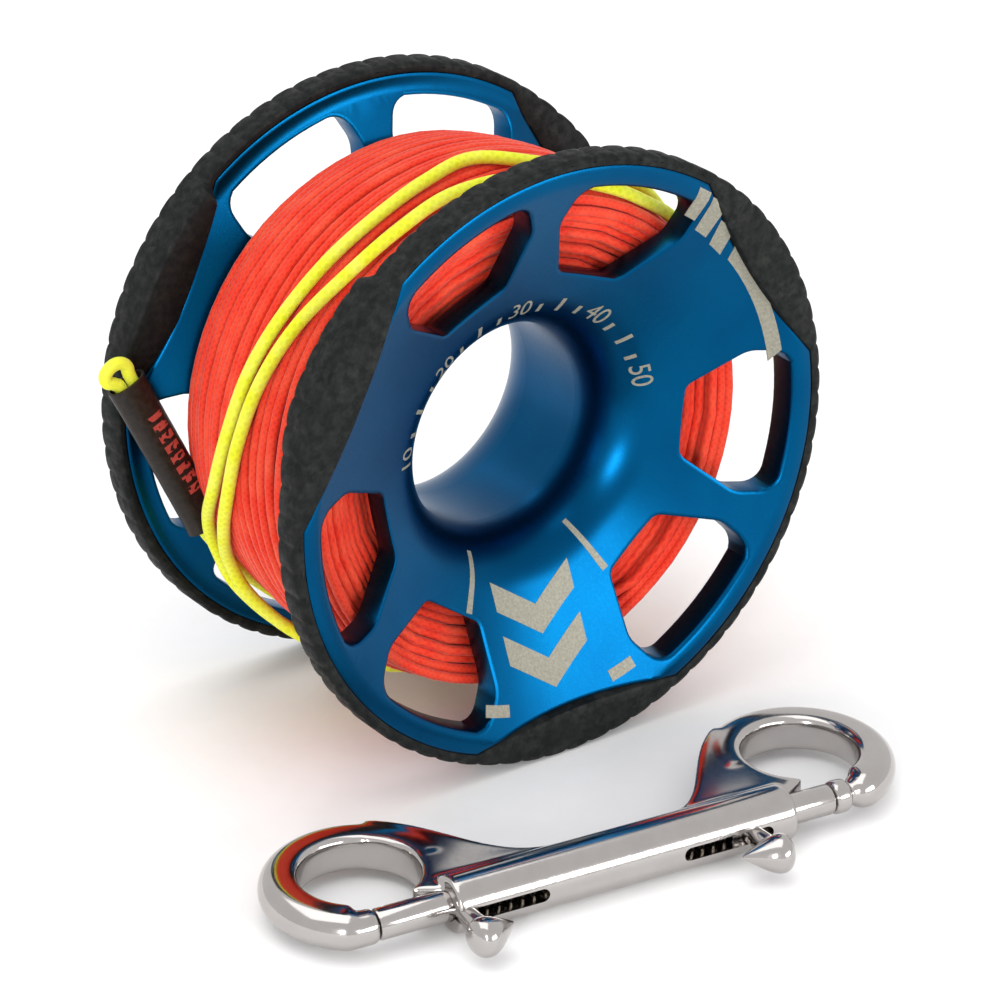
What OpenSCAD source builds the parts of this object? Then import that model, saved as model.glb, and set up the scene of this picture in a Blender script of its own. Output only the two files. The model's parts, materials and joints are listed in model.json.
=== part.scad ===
// Finger spool with its guideline, end loop and double-ended bolt snap. Millimetres, +Z up.
// The origin is the middle of the finger hole. The spool's axis is Y, and its front faces -Y.

/* [Spool] */
// Diameter over the rubber grip bands
spool_d = 100; // [96:1:104]
// Width over both grip bands
spool_w = 57; // [55:1:60]
// Diameter of the finger hole at its middle
bore_d = 34; // [30:1:35]
// Diameter of the barrel that the line is wound on
hub_d = 40; // [39:1:42]
// Thickness of each flange along the axis
flange_t = 5; // [4:0.5:6]
// Radius of the funnel's lip, where the finger hole opens into the flange
funnel_r = 13; // [10:1:14]
// Slope of the dished flange, as rise over run
dish = 0.46; // [0.4:0.02:0.5]

/* [Windows] */
// Angle of each pair of windows, seen from the front
window_pairs = [93, 213, 333];
// Half the angle between the two windows of a pair
window_half_angle = 22; // [21:0.5:23]
// Radius where a window starts
window_r0 = 28.5; // [28:0.5:30]
// Radius where a window ends
window_r1 = 44.6; // [43:0.2:45]
// Width of a window
window_w = 24; // [20:1:24]

/* [Grip bands] */
// Angles of the three thick grip pads, seen from the front
pad_angles = [33, 153, 273];
// Height of the rubber bead round the flange's edge
band_h = 1.8; // [1.6:0.1:2]
// Depth of a grip pad from the outside of the flange
pad_t = 7.5; // [6:0.5:8]
// Height of a grip pad at its middle
pad_h = 7.4; // [6:0.2:7.6]
// Slope at which each pad fades out towards one of its ends
pad_slope = 9; // [6:1:9]

/* [Line] */
// Diameter of the wound line
line_d = 1.6; // [1.5:0.1:1.7]
// Diameter of the line pack at its two ends
pack_d = 79; // [74:1:79]
// How far the line pack bulges at its middle
crown_h = 3.4; // [0:0.2:3.6]
// Diameter of the doubled leader line
leader_d = 2.1; // [1.9:0.1:2.2]
// Width of the sleeve that holds the two leader strands together
sleeve_w = 5.9; // [5.6:0.1:6]
// Thickness of that sleeve
sleeve_t = 3.7; // [3.5:0.1:3.8]

/* [Bolt snap] */
// Diameter of the snap's barrel
barrel_d = 9; // [8.6:0.1:9.4]
// Diameter of the two sliding gates
gate_d = 4.8; // [4.4:0.1:5]
// Radial width of the hooks
hook_w = 6; // [5.6:0.1:6.2]
// Height of the hooks
hook_h = 6.2; // [5.8:0.1:6.4]
// Radius of the thumb studs' pins
stud_r = 0.9; // [0.8:0.1:1]
// How far the left gate draws back
left_travel = 12; // [11:0.5:12]
// How far the right gate draws back
right_travel = 11; // [9:0.5:11]

/* [Hidden] */
$fn = 64;
eps = 0.01;

blue = [0.02, 0.36, 0.62];
rubber = [0.14, 0.15, 0.15];
orange = [0.90, 0.20, 0.08];
yellow = [0.86, 0.88, 0.14];
black = [0.07, 0.06, 0.06];
steel = [0.78, 0.77, 0.76];

// Spool
rim_r = spool_d / 2;
plate_r = rim_r - band_h;
face_z = spool_w / 2 - 0.2;            // outer plane of the aluminium
flat_r = 46;                           // the dish starts inside this radius
lean = atan(dish);
throat_r = bore_d / 2;
hub_r = hub_d / 2;
lip_r = throat_r + funnel_r * (1 - sin(lean));
lip_z = face_z - (flat_r - lip_r) * dish;
throat_z = lip_z - funnel_r * cos(lean); // half the length of the straight hole
spigot_r = throat_r + 1.4;
spigot_z = throat_z + 3;
inner_z = face_z - flange_t;           // inner plane of the flange's rim
hub_z = inner_z - (flat_r - hub_r) * dish;
tongue_h = 1.5;
tongue_t = 1.6;
tongue_z = face_z - flange_t / 2;
notch_q = 135;                         // radius of the flange's edge under a pad
notch_c = rim_r - pad_h + notch_q;
fade_start = 3;                        // angle past a pad's middle where it starts to fade out
fade_l = 15;                           // length of the fade, along the rim

// Line pack
pack_r = pack_d / 2;
pack_gap = 0.05;
pack_end = hub_z + (pack_r - hub_r) * dish - pack_gap;
hitch_pitch = 0.9 * line_d;            // less than the line's diameter, so its two turns join
hitch_w = 2 * line_d;
knot_r = 2.1;
knot_out = hub_r + knot_r - 0.2;

// Leader: strand A's and strand B's rows are [angle, radius, place along Y]
strand_a = [[214, 41.6, 18.4], [226, 41.1, 18.4], [242, 41.4, 17], [262, 42.2, 13.8], [290, 43.3, 8],
            [330, 43.9, 1.5], [370, 43.6, -5], [405, 43.1, -9.8], [425, 43, -10.9], [440, 43.1, -9.9],
            [452, 43.7, -5.1], [464.5, 43.6, -5.8], [478, 43.6, -6.3], [491, 43.7, -5.4],
            [505, 43.8, -3.7], [518, 43.9, -1.7], [532, 43.9, 0.6], [546, 43.8, 5], [557, 43.3, 10.6],
            [567, 43.3, 13], [577, 44.5, 11.4], [590, 44.6, 6.2], [610, 44.2, 1.6], [632, 44, 0.9]];
strand_b = [[214, 41.8, 16.1], [226, 41.4, 16.1], [242, 41.8, 14.6], [262, 42.6, 11.4], [290, 43.5, 5.6],
            [330, 43.9, -1], [370, 43.2, -8.4], [400, 42, -14.2], [418, 41.6, -16.4], [433, 41.8, -15.9],
            [448.5, 42.4, -13.3], [463.5, 42.8, -11.5], [477, 42.8, -11.4], [491, 43, -10.3],
            [505, 43.4, -7.4], [518.5, 43.7, -4.9], [532, 43.9, -2.7], [545, 43.9, 0.5],
            [556, 43.8, 4.8], [567, 43.6, 9], [578, 44.5, 8.2], [590, 44.6, 3.2], [610, 44.2, -1.1],
            [632, 44, -1.7]];
// The sleeve's two ends, and the strands' half pitch inside it
sleeve_top = [-50, 19.5, 9.8];
sleeve_end = [-38, 17.2, -16.9];
strand_pitch = 1.08;
// The end loop's points beyond the sleeve, as [across, along] the sleeve
loop_points = [[-1.15, 0.9], [-1.4, 2.2], [-0.6, 3.4], [0.9, 3.7], [2.3, 3.1], [2.6, 1.9], [1.6, 0.8]];
// The joining knot's lumps, as rows like the strands'
knot_at = [[637, 44.2, 0.2], [641, 43.9, -0.6], [645, 43.4, -0.2]];
joining_r = 1.9;

// Bolt snap, in its own frame: X along the barrel, Y towards the hooks
snap_at = [-16.8, -64.9];
snap_turn = -7.4;
barrel_r = barrel_d / 2;
gate_r = gate_d / 2;
bore_gap = 0.05;
hook_r = 12.1;                         // radius of the hooks' centre line
left_hook = [-38.2, 10.6];
right_hook = [38.3, 11.5];
left_mouth = -29.2;
right_mouth = 28.5;
left_tip = -41;
right_tip = 36.6;
tip_r = 2.6;
seam = 0.08;                           // keeps two joined surfaces from lying in one another
web_x = [-3, 0.5];                     // the solid web between the two bores
left_stud = -27.9;
right_stud = 20.8;
slot_r = stud_r + 0.2;
gate_tail = 2.9;                       // length of a gate behind its stud
wire_d = 0.6;
coil_r = 1.9;

// ---- shared functions ----

function lerp(a, b, t) = a + (b - a) * t;
function unit(v) = v / norm(v);
function round_to(p, angle) = [p * cos(angle), p * sin(angle)];
function at(c) = [c[1] * cos(c[0]), c[2], c[1] * sin(c[0])];

// A cubic Bezier curve from a to d
function bezier(a, b, c, d, n) = [for (i = [0:n]) let (t = i / n, s = 1 - t)
    s*s*s*a + 3*s*s*t*b + 3*s*t*t*c + t*t*t*d];

// A smooth curve through points, with n steps for each stretch
function extended(p) = concat([2*p[0] - p[1]], p, [2*p[len(p)-1] - p[len(p)-2]]);
function through(p, n) = let (q = extended(p)) concat(
    [for (i = [1:len(p)-1], k = [0:n-1]) let (t = k / n, a = q[i-1], b = q[i], c = q[i+1], d = q[i+2])
        0.5 * (2*b + (c - a)*t + (2*a - 5*b + 4*c - d)*t*t + (3*b - a - 3*c + d)*t*t*t)],
    [p[len(p)-1]]);

// A polygon with each corner rounded to its own radius, with n steps a corner
function corner(a, b, c, r, n) = let (
    u = unit(a - b), v = unit(c - b), half = acos(u * v) / 2,
    m = b + unit(u + v) * r / sin(half),
    s = atan2((b + u * r / tan(half) - m)[1], (b + u * r / tan(half) - m)[0]),
    e = atan2((b + v * r / tan(half) - m)[1], (b + v * r / tan(half) - m)[0]),
    turn = (e - s > 180) ? e - s - 360 : (e - s < -180) ? e - s + 360 : e - s)
    [for (i = [0:n]) m + round_to(r, s + turn * i / n)];
function rounded(p, r, n) = [for (i = [0:len(p)-1])
    each corner(p[(i + len(p) - 1) % len(p)], p[i], p[(i + 1) % len(p)], r[i], n)];

// The line that a tube follows has one ring of points for each point of the path
function along(p, i) = unit(p[min(i + 1, len(p) - 1)] - p[max(i - 1, 0)]);
function frames(p, i = 0, x = undef, out = []) = i == len(p) ? out : let (
    d = along(p, i),
    start = abs(d[2]) < 0.9 ? [0, 0, 1] : [1, 0, 0],
    raw = is_undef(x) ? start : x,
    side = unit(raw - d * (raw * d)))
    frames(p, i + 1, side, concat(out, [[side, cross(d, side)]]));

// A round tube swept along points p, closed at both ends
module tube(p, r, sides) {
    f = frames(p);
    rings = [for (i = [0:len(p)-1], k = [0:sides-1]) let (a = 360 * k / sides)
        p[i] + r * (cos(a) * f[i][0] + sin(a) * f[i][1])];
    last = (len(p) - 1) * sides;
    walls = [for (i = [0:len(p)-2], k = [0:sides-1]) let (m = (k + 1) % sides)
        [i*sides + k, i*sides + m, (i+1)*sides + m, (i+1)*sides + k]];
    polyhedron(rings, concat(walls,
        [[for (k = [sides-1:-1:0]) k]], [[for (k = [0:sides-1]) last + k]]));
}

// ---- spool ----

// Turns a shape made round +Z so that its +Z points to the front, -Y
module on_axis() { rotate([90, 0, 0]) children(); }
module to_rear() { mirror([0, 1, 0]) children(); }

// Outline of one window, pointing along +X
function window_outline() = let (w = window_w / 2, shoulder_r = window_r0 + 8.3, w0 = 5.9,
    edge = [for (a = [-3:3]) round_to(window_r1, a * asin(w / window_r1) / 3)],
    p = concat([[window_r0, w0], [window_r0, -w0], [shoulder_r, -w]], [edge[0]], [edge[6]],
        [[shoulder_r, w]]))
    let (q = rounded(p, [2, 2, 4, 3.4, 3.4, 4], 5))
    concat([for (i = [0:23]) q[i]], [for (i = [1:5]) edge[i]], [for (i = [24:35]) q[i]]);

module window_cutters() {
    for (pair = window_pairs, side = [-1, 1])
        rotate(pair + side * window_half_angle)
            linear_extrude(spool_w) polygon(window_outline());
}

module pad_cutters(grow) {
    for (a = pad_angles) rotate(a) translate([notch_c, 0, 0])
        cylinder(r = notch_q + grow, h = spool_w, $fn = 180);
}

// Section of one flange: the funnel, the dish, the rim with its groove, and the spigot
function lip_arc(n) = [for (i = [0:n]) let (a = 180 - (90 - lean) * i / n)
    [throat_r + funnel_r, throat_z] + round_to(funnel_r, a)];

module flange_section() {
    polygon(concat(
        lip_arc(12),
        [[flat_r, face_z], [plate_r, face_z],
         [plate_r, tongue_z + tongue_t / 2], [plate_r - tongue_h, tongue_z + tongue_t / 2],
         [plate_r - tongue_h, tongue_z - tongue_t / 2], [plate_r, tongue_z - tongue_t / 2],
         [plate_r, inner_z], [flat_r, inner_z], [hub_r, hub_z], [hub_r, spigot_z],
         [spigot_r, spigot_z], [spigot_r, throat_z]]));
}

module flange() {
    color(blue) difference() {
        rotate_extrude($fn = 120) flange_section();
        window_cutters();
        pad_cutters(0);
    }
}

module front_flange() { on_axis() flange(); }
module rear_flange() { to_rear() on_axis() flange(); }

// The straight hole's wall, with a step at each end for the flanges' spigots
module hub_barrel() {
    color(blue) on_axis() rotate_extrude($fn = 120) polygon([
        [throat_r, -throat_z], [spigot_r, -throat_z], [spigot_r, -spigot_z], [hub_r, -spigot_z],
        [hub_r, spigot_z], [spigot_r, spigot_z], [spigot_r, throat_z], [throat_r, throat_z]]);
}

// Rubber band with a tongue in the flange's groove, and three thick pads
module grip_band() {
    top = spool_w / 2;
    color(rubber) {
        difference() {
            rotate_extrude($fn = 120) polygon([
                [plate_r, top - 0.2], [plate_r + 0.2, top], [rim_r - 0.6, top], [rim_r, top - 0.6],
                [rim_r, inner_z + 0.4], [rim_r - 0.6, inner_z - 0.2], [plate_r + 0.2, inner_z - 0.2],
                [plate_r, inner_z],
                [plate_r, tongue_z - tongue_t / 2], [plate_r - tongue_h, tongue_z - tongue_t / 2],
                [plate_r - tongue_h, tongue_z + tongue_t / 2], [plate_r, tongue_z + tongue_t / 2]]);
            pad_cutters(-0.4);
        }
        for (a = pad_angles) difference() {
            intersection() {
                rotate(a) translate([notch_c, 0, top - pad_t])
                    cylinder(r = notch_q, h = pad_t, $fn = 180);
                rotate_extrude($fn = 120) polygon([
                    [rim_r - pad_h - 1, top - pad_t], [rim_r - 0.8, top - pad_t],
                    [rim_r, top - pad_t + 0.8], [rim_r, top - 0.6], [rim_r - 0.6, top],
                    [rim_r - pad_h - 1, top]]);
            }
            rotate(a + fade_start) translate([rim_r - 2 * pad_h, 0, top - pad_t])
                rotate([pad_slope, 0, 0]) translate([0, 0, -pad_t]) cube([3 * pad_h, fade_l, pad_t]);
        }
    }
}

module front_grip_band() { on_axis() grip_band(); }
module rear_grip_band() { to_rear() on_axis() grip_band(); }

// ---- line ----

// Two turns round the hub and a knot hold the line's inner end
module anchor_hitch() {
    color(orange) on_axis() {
        for (side = [-0.5, 0.5]) translate([0, 0, side * hitch_pitch]) rotate_extrude()
            translate([hub_r + line_d / 2, 0]) circle(d = line_d, $fn = 16);
        translate([0, -knot_out, 0]) sphere(r = knot_r, $fn = 24);
    }
}

// Outer edge of the pack's section, from end to end
function crown(n) = [for (i = [-n:n]) let (t = i / n) [pack_r + crown_h * (1 - t * t), t * pack_end]];

// The closed outer shape of all the wound turns
module line_pack() {
    color(orange) on_axis() difference() {
        rotate_extrude($fn = 90) polygon(concat(
            [[hub_r, -hub_z + pack_gap]], crown(6), [[hub_r, hub_z - pack_gap]]));
        translate([0, 0, -line_d]) cylinder(r = hub_r + line_d, h = hitch_w);
        translate([0, -knot_out, 0]) sphere(r = knot_r, $fn = 24);
    }
}

function sleeve_along() = unit(sleeve_end - sleeve_top);
function sleeve_across() = unit(cross([0, 1, 0], sleeve_along()));
function in_sleeve(across, t) = lerp(sleeve_top, sleeve_end, t) + sleeve_across() * across;
function beyond_sleeve(q) = sleeve_top + sleeve_across() * q[0] - sleeve_along() * q[1];

// The whole leader, from the knot along strand A, round the end loop and back along strand B
function reversed(p) = [for (i = [len(p)-1:-1:0]) p[i]];
leader_points = concat(
    reversed([for (c = strand_a) at(c)]),
    [for (t = [0.93, 0.5, 0.05]) in_sleeve(-strand_pitch, t)],
    [for (q = loop_points) beyond_sleeve(q)],
    [for (t = [0.05, 0.5, 0.93]) in_sleeve(strand_pitch, t)],
    [for (c = strand_b) at(c)]);

module leader() { color(yellow) tube(through(leader_points, 2), leader_d / 2, 8); }

// A lumpy knot joins the leader's two strands to the line
module line_knot() {
    color(yellow) for (c = knot_at) translate(at(c)) sphere(r = joining_r, $fn = 24);
}

// Heat-shrunk sleeve over both strands
module end_sleeve() {
    long = norm(sleeve_end - sleeve_top);
    d = sleeve_along();
    hole = leader_d + 0.1;
    color(black) translate(sleeve_top)
        rotate([0, acos(d[2]), atan2(d[1], d[0])]) difference() {
            linear_extrude(long) stadium(sleeve_w, sleeve_t);
            translate([0, 0, -eps]) linear_extrude(long + 2 * eps)
                stadium(2 * strand_pitch + hole, hole);
        }
}

module stadium(w, t) {
    square([w - t, t], center = true);
    for (side = [-1, 1]) translate([side * (w - t) / 2, 0]) circle(d = t, $fn = 32);
}

// ---- bolt snap ----

module in_snap() {
    translate([snap_at[0], snap_at[1], -rim_r + barrel_r]) rotate(snap_turn) children();
}

// Cylinder along X from x0 to x1
module rod(x0, x1, r) { translate([x0, 0, 0]) rotate([0, 90, 0]) cylinder(r = r, h = x1 - x0); }

module hook_section() {
    soft = 2.2;
    square([hook_w - 2 * soft, hook_h], center = true);
    square([hook_w, hook_h - 2 * soft], center = true);
    for (x = [-1, 1], y = [-1, 1])
        translate([x * (hook_w / 2 - soft), y * (hook_h / 2 - soft)]) circle(r = soft, $fn = 24);
}

// Ring of one hook from angle a0 to a1 round its centre, with its tip on the gate's axis
module hook(c, a0, a1, tip_angle, tip_x) {
    tip = c + round_to(hook_r, tip_angle);
    translate([c[0], c[1], 0]) rotate(a0) rotate_extrude(angle = a1 - a0, $fn = 96)
        translate([hook_r, 0]) hook_section();
    translate([tip[0], tip[1], 0]) sphere(r = tip_r + 0.15, $fn = 32);
    rod(min(tip_x, tip[0]), max(tip_x, tip[0]), tip_r);
}

// Flat shoulder that sweeps from a hook's back down to the barrel
module shoulder(curve, foot) {
    h = hook_h - 2 * seam;
    translate([0, 0, -h / 2]) linear_extrude(h) polygon(concat(curve, foot));
}

left_curve = bezier([-31, 23.8], [-20.5, 18.1], [-20, 4.2], [-8, 4.2], 14);
right_curve = bezier([30, 24], [21.7, 18.6], [17.5, 4.2], [11, 4.2], 14);

module slot(x0, x1) {
    translate([x0, -barrel_d, -slot_r]) cube([x1 - x0, barrel_d, 2 * slot_r]);
    for (x = [x0, x1]) translate([x, 0, 0]) rotate([90, 0, 0]) cylinder(r = slot_r, h = barrel_d);
}

module snap_body() {
    color(steel) in_snap() difference() {
        union() {
            rod(left_mouth, right_mouth, barrel_r);
            hook(left_hook, 0, 238, 238, left_tip);
            hook(right_hook, -70, 180, -70, right_tip);
            difference() {
                union() {
                    shoulder(left_curve, [[-8, 0], [left_mouth, 0], [left_mouth, 16]]);
                    shoulder(right_curve, [[11, 0], [right_mouth, 0], [right_mouth, 16]]);
                }
                for (c = [left_hook, right_hook]) translate([c[0], c[1], -barrel_d])
                    cylinder(r = hook_r - hook_w / 2 + seam, h = 2 * barrel_d);
            }
        }
        rod(left_mouth - 1, web_x[0], gate_r + bore_gap);
        rod(web_x[1], right_mouth + 1, gate_r + bore_gap);
        slot(left_mouth - 3, left_stud + left_travel + 0.3);
        slot(right_stud - right_travel - 0.3, right_stud + 2);
    }
}

// Sliding gate: x0 is its tip at the hook, x1 its inner end, and its stud sits in a cross hole
module gate(x0, x1, stud_x) {
    nose = 0.5;
    way = x1 > x0 ? 1 : -1;
    color(steel) in_snap() difference() {
        union() {
            rod(min(x0 + way * nose, x1), max(x0 + way * nose, x1), gate_r);
            translate([x0, 0, 0]) rotate([0, way * 90, 0])
                cylinder(r1 = gate_r - nose, r2 = gate_r, h = nose);
        }
        translate([stud_x, 0, 0]) rotate([90, 0, 0]) cylinder(r = stud_r, h = gate_d, center = true);
    }
}

module left_gate() { gate(left_tip + 0.05, left_stud + gate_tail, left_stud); }
module right_gate() { gate(right_tip - 0.05, right_stud - gate_tail, right_stud); }

// Thumb stud: a pin through the gate, and a knob that leans towards the barrel's middle
module thumb_stud(x, way) {
    color(steel) in_snap() {
        translate([x, 1.5, 0]) rotate([90, 0, 0]) cylinder(r = stud_r, h = 10.5, $fn = 32);
        hull() {
            translate([x - way * 0.4, -10.6, 0]) sphere(r = 2.5, $fn = 28);
            translate([x + way * 4.2, -9.2, 0]) sphere(r = 1, $fn = 28);
        }
    }
}

module left_thumb_stud() { thumb_stud(left_stud, 1); }
module right_thumb_stud() { thumb_stud(right_stud, -1); }

// Coil spring between a gate's inner end and the barrel's web
module spring(x0, x1, turns) {
    steps = 14 * turns;
    gap = wire_d / 2;
    drawn_r = 0.95 * gap;              // a little under size, so neighbouring turns never touch
    color(steel) in_snap() tube(
        [for (i = [0:steps]) let (t = i / steps, a = 360 * turns * t)
            [lerp(x0 + gap, x1 - gap, t), coil_r * cos(a), coil_r * sin(a)]],
        drawn_r, 6);
}

module left_spring() { spring(left_stud + gate_tail, web_x[0], 11); }
module right_spring() { spring(web_x[1], right_stud - gate_tail, 9); }

front_flange();
rear_flange();
hub_barrel();
front_grip_band();
rear_grip_band();
anchor_hitch();
line_pack();
line_knot();
leader();
end_sleeve();
snap_body();
left_gate();
right_gate();
left_thumb_stud();
right_thumb_stud();
left_spring();
right_spring();
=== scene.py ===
"""Looks of a finger spool with its guideline, end loop and double-ended bolt snap.

Pieces are modelled in millimetres in the spool's frame, with its axis on Y, and scaled to metres
when they are finished. A flange is modelled flat, with its axis on Z and its outside up.
"""

import json
import math

import bmesh
import bpy
from mathutils import Matrix, Vector, noise


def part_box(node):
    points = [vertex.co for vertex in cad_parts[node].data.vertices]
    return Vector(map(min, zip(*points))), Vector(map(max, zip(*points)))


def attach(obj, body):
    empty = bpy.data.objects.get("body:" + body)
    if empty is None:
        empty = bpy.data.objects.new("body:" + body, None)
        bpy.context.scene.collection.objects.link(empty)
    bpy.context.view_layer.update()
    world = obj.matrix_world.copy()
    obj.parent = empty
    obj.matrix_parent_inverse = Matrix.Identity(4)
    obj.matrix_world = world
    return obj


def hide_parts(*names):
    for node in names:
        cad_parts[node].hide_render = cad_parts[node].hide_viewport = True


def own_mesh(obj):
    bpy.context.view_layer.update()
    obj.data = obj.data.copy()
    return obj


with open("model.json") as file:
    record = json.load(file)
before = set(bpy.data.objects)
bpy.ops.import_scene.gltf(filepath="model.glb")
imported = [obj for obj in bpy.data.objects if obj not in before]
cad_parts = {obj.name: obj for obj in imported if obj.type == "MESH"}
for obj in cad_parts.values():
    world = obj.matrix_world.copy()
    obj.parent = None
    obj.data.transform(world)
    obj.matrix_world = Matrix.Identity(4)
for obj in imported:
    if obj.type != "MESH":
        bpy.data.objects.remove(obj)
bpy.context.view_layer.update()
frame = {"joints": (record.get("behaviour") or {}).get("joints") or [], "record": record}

MM = 0.001
SNAP_JOINT = next(j for j in frame["joints"] if j["name"] == "left_gate_slide")


def edge_of(node, axis, top=True):
    """Highest or lowest place of a CAD node along an axis, in millimetres."""
    low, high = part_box(node)
    return (high if top else low)[axis] / MM


# Spool
RIM_R = edge_of("front_grip_band", 2)
PLATE_R = edge_of("front_flange", 0)
PLATE_EDGE = 0.45
FACE = -edge_of("front_flange", 1, top=False)
BAND_FACE = -edge_of("front_grip_band", 1, top=False)
THROAT_R = frame["record"]["mounts"][0]["dims"]["r_mm"]
HUB_R = edge_of("hub_barrel", 2)
PACK_R = 39.5
CROWN = edge_of("line_pack", 2) - PACK_R
DISH = 0.46
FLAT_R = 46
CREASE = 0.7
FLANGE_T = 5
FUNNEL_R = 13
FUNNEL_EDGE_R = 27
SPIGOT_R = THROAT_R + 1.4
SPIGOT_LENGTH = 3
SECTORS = 180
PAD_ANGLES = (33, 153, 273)
PAD_HEIGHT = 7.4
PAD_DEPTH = 7.5
BAND_DEPTH = 5.2
NOTCH_R = 135
NOTCH_AT = RIM_R - PAD_HEIGHT + NOTCH_R
WINDOW_PAIRS = (93, 213, 333)
WINDOW_HALF_ANGLE = 22
WINDOW_R = (28.5, 44.6)
WINDOW_W = 24
WINDOW_FOOT = 5.9
WINDOW_SHOULDER = 8.3
SCALE_R = 21.4
SCALE_START = 172
SCALE_STEP = 9.8
MARK_T = 0.16
MARK_LIFT = 0.05

# Line and leader
LINE_D = 1.6
LAYERS = 14
LINE_LENGTH = 46
LEADER_LENGTH = 0.735
LEADER_D = 2.1
SLEEVE_W = 5.9
SLEEVE_T = 3.7
# Each strand on the pack: angle round it in degrees, radius, and place along the axis
STRAND_A = [[214, 41.6, 18.4], [226, 41.1, 18.4], [242, 41.4, 17], [262, 42.2, 13.8],
            [290, 43.3, 8], [330, 43.9, 1.5], [370, 43.6, -5], [405, 43.1, -9.8],
            [425, 43, -10.9], [440, 43.1, -9.9], [452, 43.7, -5.1], [464.5, 43.6, -5.8],
            [478, 43.6, -6.3], [491, 43.7, -5.4], [505, 43.8, -3.7], [518, 43.9, -1.7],
            [532, 43.9, 0.6], [546, 43.8, 5], [557, 43.3, 10.6], [567, 43.3, 13],
            [577, 44.5, 11.4], [590, 44.6, 6.2], [610, 44.2, 1.6], [632, 44, 0.9]]
STRAND_B = [[214, 41.8, 16.1], [226, 41.4, 16.1], [242, 41.8, 14.6], [262, 42.6, 11.4],
            [290, 43.5, 5.6], [330, 43.9, -1], [370, 43.2, -8.4], [400, 42, -14.2],
            [418, 41.6, -16.4], [433, 41.8, -15.9], [448.5, 42.4, -13.3], [463.5, 42.8, -11.5],
            [477, 42.8, -11.4], [491, 43, -10.3], [505, 43.4, -7.4], [518.5, 43.7, -4.9],
            [532, 43.9, -2.7], [545, 43.9, 0.5], [556, 43.8, 4.8], [567, 43.6, 9],
            [578, 44.5, 8.2], [590, 44.6, 3.2], [610, 44.2, -1.1], [632, 44, -1.7]]
SLEEVE_TOP = Vector((-50, 19.5, 9.8))
SLEEVE_END = Vector((-38, 17.2, -16.9))
SLEEVE_ALONG = (SLEEVE_END - SLEEVE_TOP).normalized()
SLEEVE_ACROSS = Vector((0, 1, 0)).cross(SLEEVE_ALONG).normalized()
SLEEVE_LENGTH = (SLEEVE_END - SLEEVE_TOP).length
STRAND_PITCH = 1.08
# End loop: places across the sleeve and out past its top
LOOP_POINTS = [[-1.15, 0.9], [-1.4, 2.2], [-0.6, 3.4], [0.9, 3.7], [2.3, 3.1], [2.6, 1.9],
               [1.6, 0.8]]
KNOT_AT = (641, 43.8, -0.2)

# Bolt snap, in its own frame: X along the barrel, Y towards the hooks
SNAP_TURN = math.atan2(SNAP_JOINT["axis"][1], SNAP_JOINT["axis"][0])
BARREL_R = (edge_of("snap_body", 2) - edge_of("snap_body", 2, top=False)) / 2
SNAP_AT = (-16.8, -64.9, edge_of("snap_body", 2) - BARREL_R)
SNAP_FRAME = Matrix.Translation(SNAP_AT) @ Matrix.Rotation(SNAP_TURN, 4, "Z")
GATE_R = 2.4
HOOK_R = 12.1
HOOK_W = 6
HOOK_H = 6.2
LEFT_HOOK = (-38.2, 10.6)
RIGHT_HOOK = (38.3, 11.5)
LEFT_MOUTH = -29.2
RIGHT_MOUTH = 28.5
LEFT_TIP = -41
RIGHT_TIP = 36.6
TIP_R = 2.6
WEB = (-3, 0.5)
LEFT_STUD = -27.9
RIGHT_STUD = 20.8
LEFT_TRAVEL = 12
RIGHT_TRAVEL = 11
GATE_TAIL = 2.9
TIP_GAP = 0.05
KNOB_OUT = 9.8
KNOB_REACH = 4.1
KNOB_WIDE = 4.3
KNOB_LEAN = 16
SLOT_R = 1.1
STUD_R = 0.9
WIRE_D = 0.6
COIL_R = 1.9


# ---- camera, floor and light ----

def aim(obj, place, target):
    obj.location = place
    obj.rotation_euler = (Vector(target) - Vector(place)).to_track_quat("-Z", "Y").to_euler()


def add_camera():
    data = bpy.data.cameras.new("camera")
    data.lens = 136.03
    data.sensor_width = 36
    camera = bpy.data.objects.new("camera", data)
    bpy.context.scene.collection.objects.link(camera)
    right = Vector((0.81542, -0.57886, 0))
    up = Vector((0.24958, 0.35157, 0.90228))
    back = Vector((-0.52229, -0.73574, 0.43115))
    turn = Matrix((right, up, back)).transposed().to_4x4()
    camera.matrix_world = Matrix.Translation((-0.31227, -0.44988, 0.24510)) @ turn
    bpy.context.scene.camera = camera


def add_soft_light(name, place, target, size, power, colour=(1, 1, 1)):
    data = bpy.data.lights.new(name, "AREA")
    data.shape = "RECTANGLE"
    data.size, data.size_y = size
    data.energy = power
    data.color = colour
    light = bpy.data.objects.new(name, data)
    bpy.context.scene.collection.objects.link(light)
    aim(light, place, target)


def add_stage():
    bm = bmesh.new()
    bmesh.ops.create_grid(bm, x_segments=2, y_segments=2, size=3)
    bmesh.ops.translate(bm, verts=bm.verts, vec=(0, 0, -RIM_R * MM))
    mesh = bpy.data.meshes.new("floor")
    bm.to_mesh(mesh)
    bm.free()
    floor = bpy.data.objects.new("floor", mesh)
    bpy.context.scene.collection.objects.link(floor)
    mesh.materials.append(floor_paint())
    world = bpy.data.worlds.new("studio")
    world.use_nodes = True
    world.node_tree.nodes["Background"].inputs["Color"].default_value = (1, 1, 1, 1)
    world.node_tree.nodes["Background"].inputs["Strength"].default_value = 0.9
    bpy.context.scene.world = world
    bpy.context.scene.view_settings.view_transform = "Standard"
    add_soft_light("top_light", (-0.15, 0.15, 0.9), (0, 0, 0), (1, 0.9), 4)
    add_soft_light("front_light", (0.26, -0.93, 0.22), (0, 0, 0), (0.72, 0.26), 4.6)
    add_soft_light("left_light", (-0.7, -0.62, 0.2), (0, 0, 0), (0.1, 0.3), 3)


# ---- materials, whose sizes are in metres, as Object coordinates are ----

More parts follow.
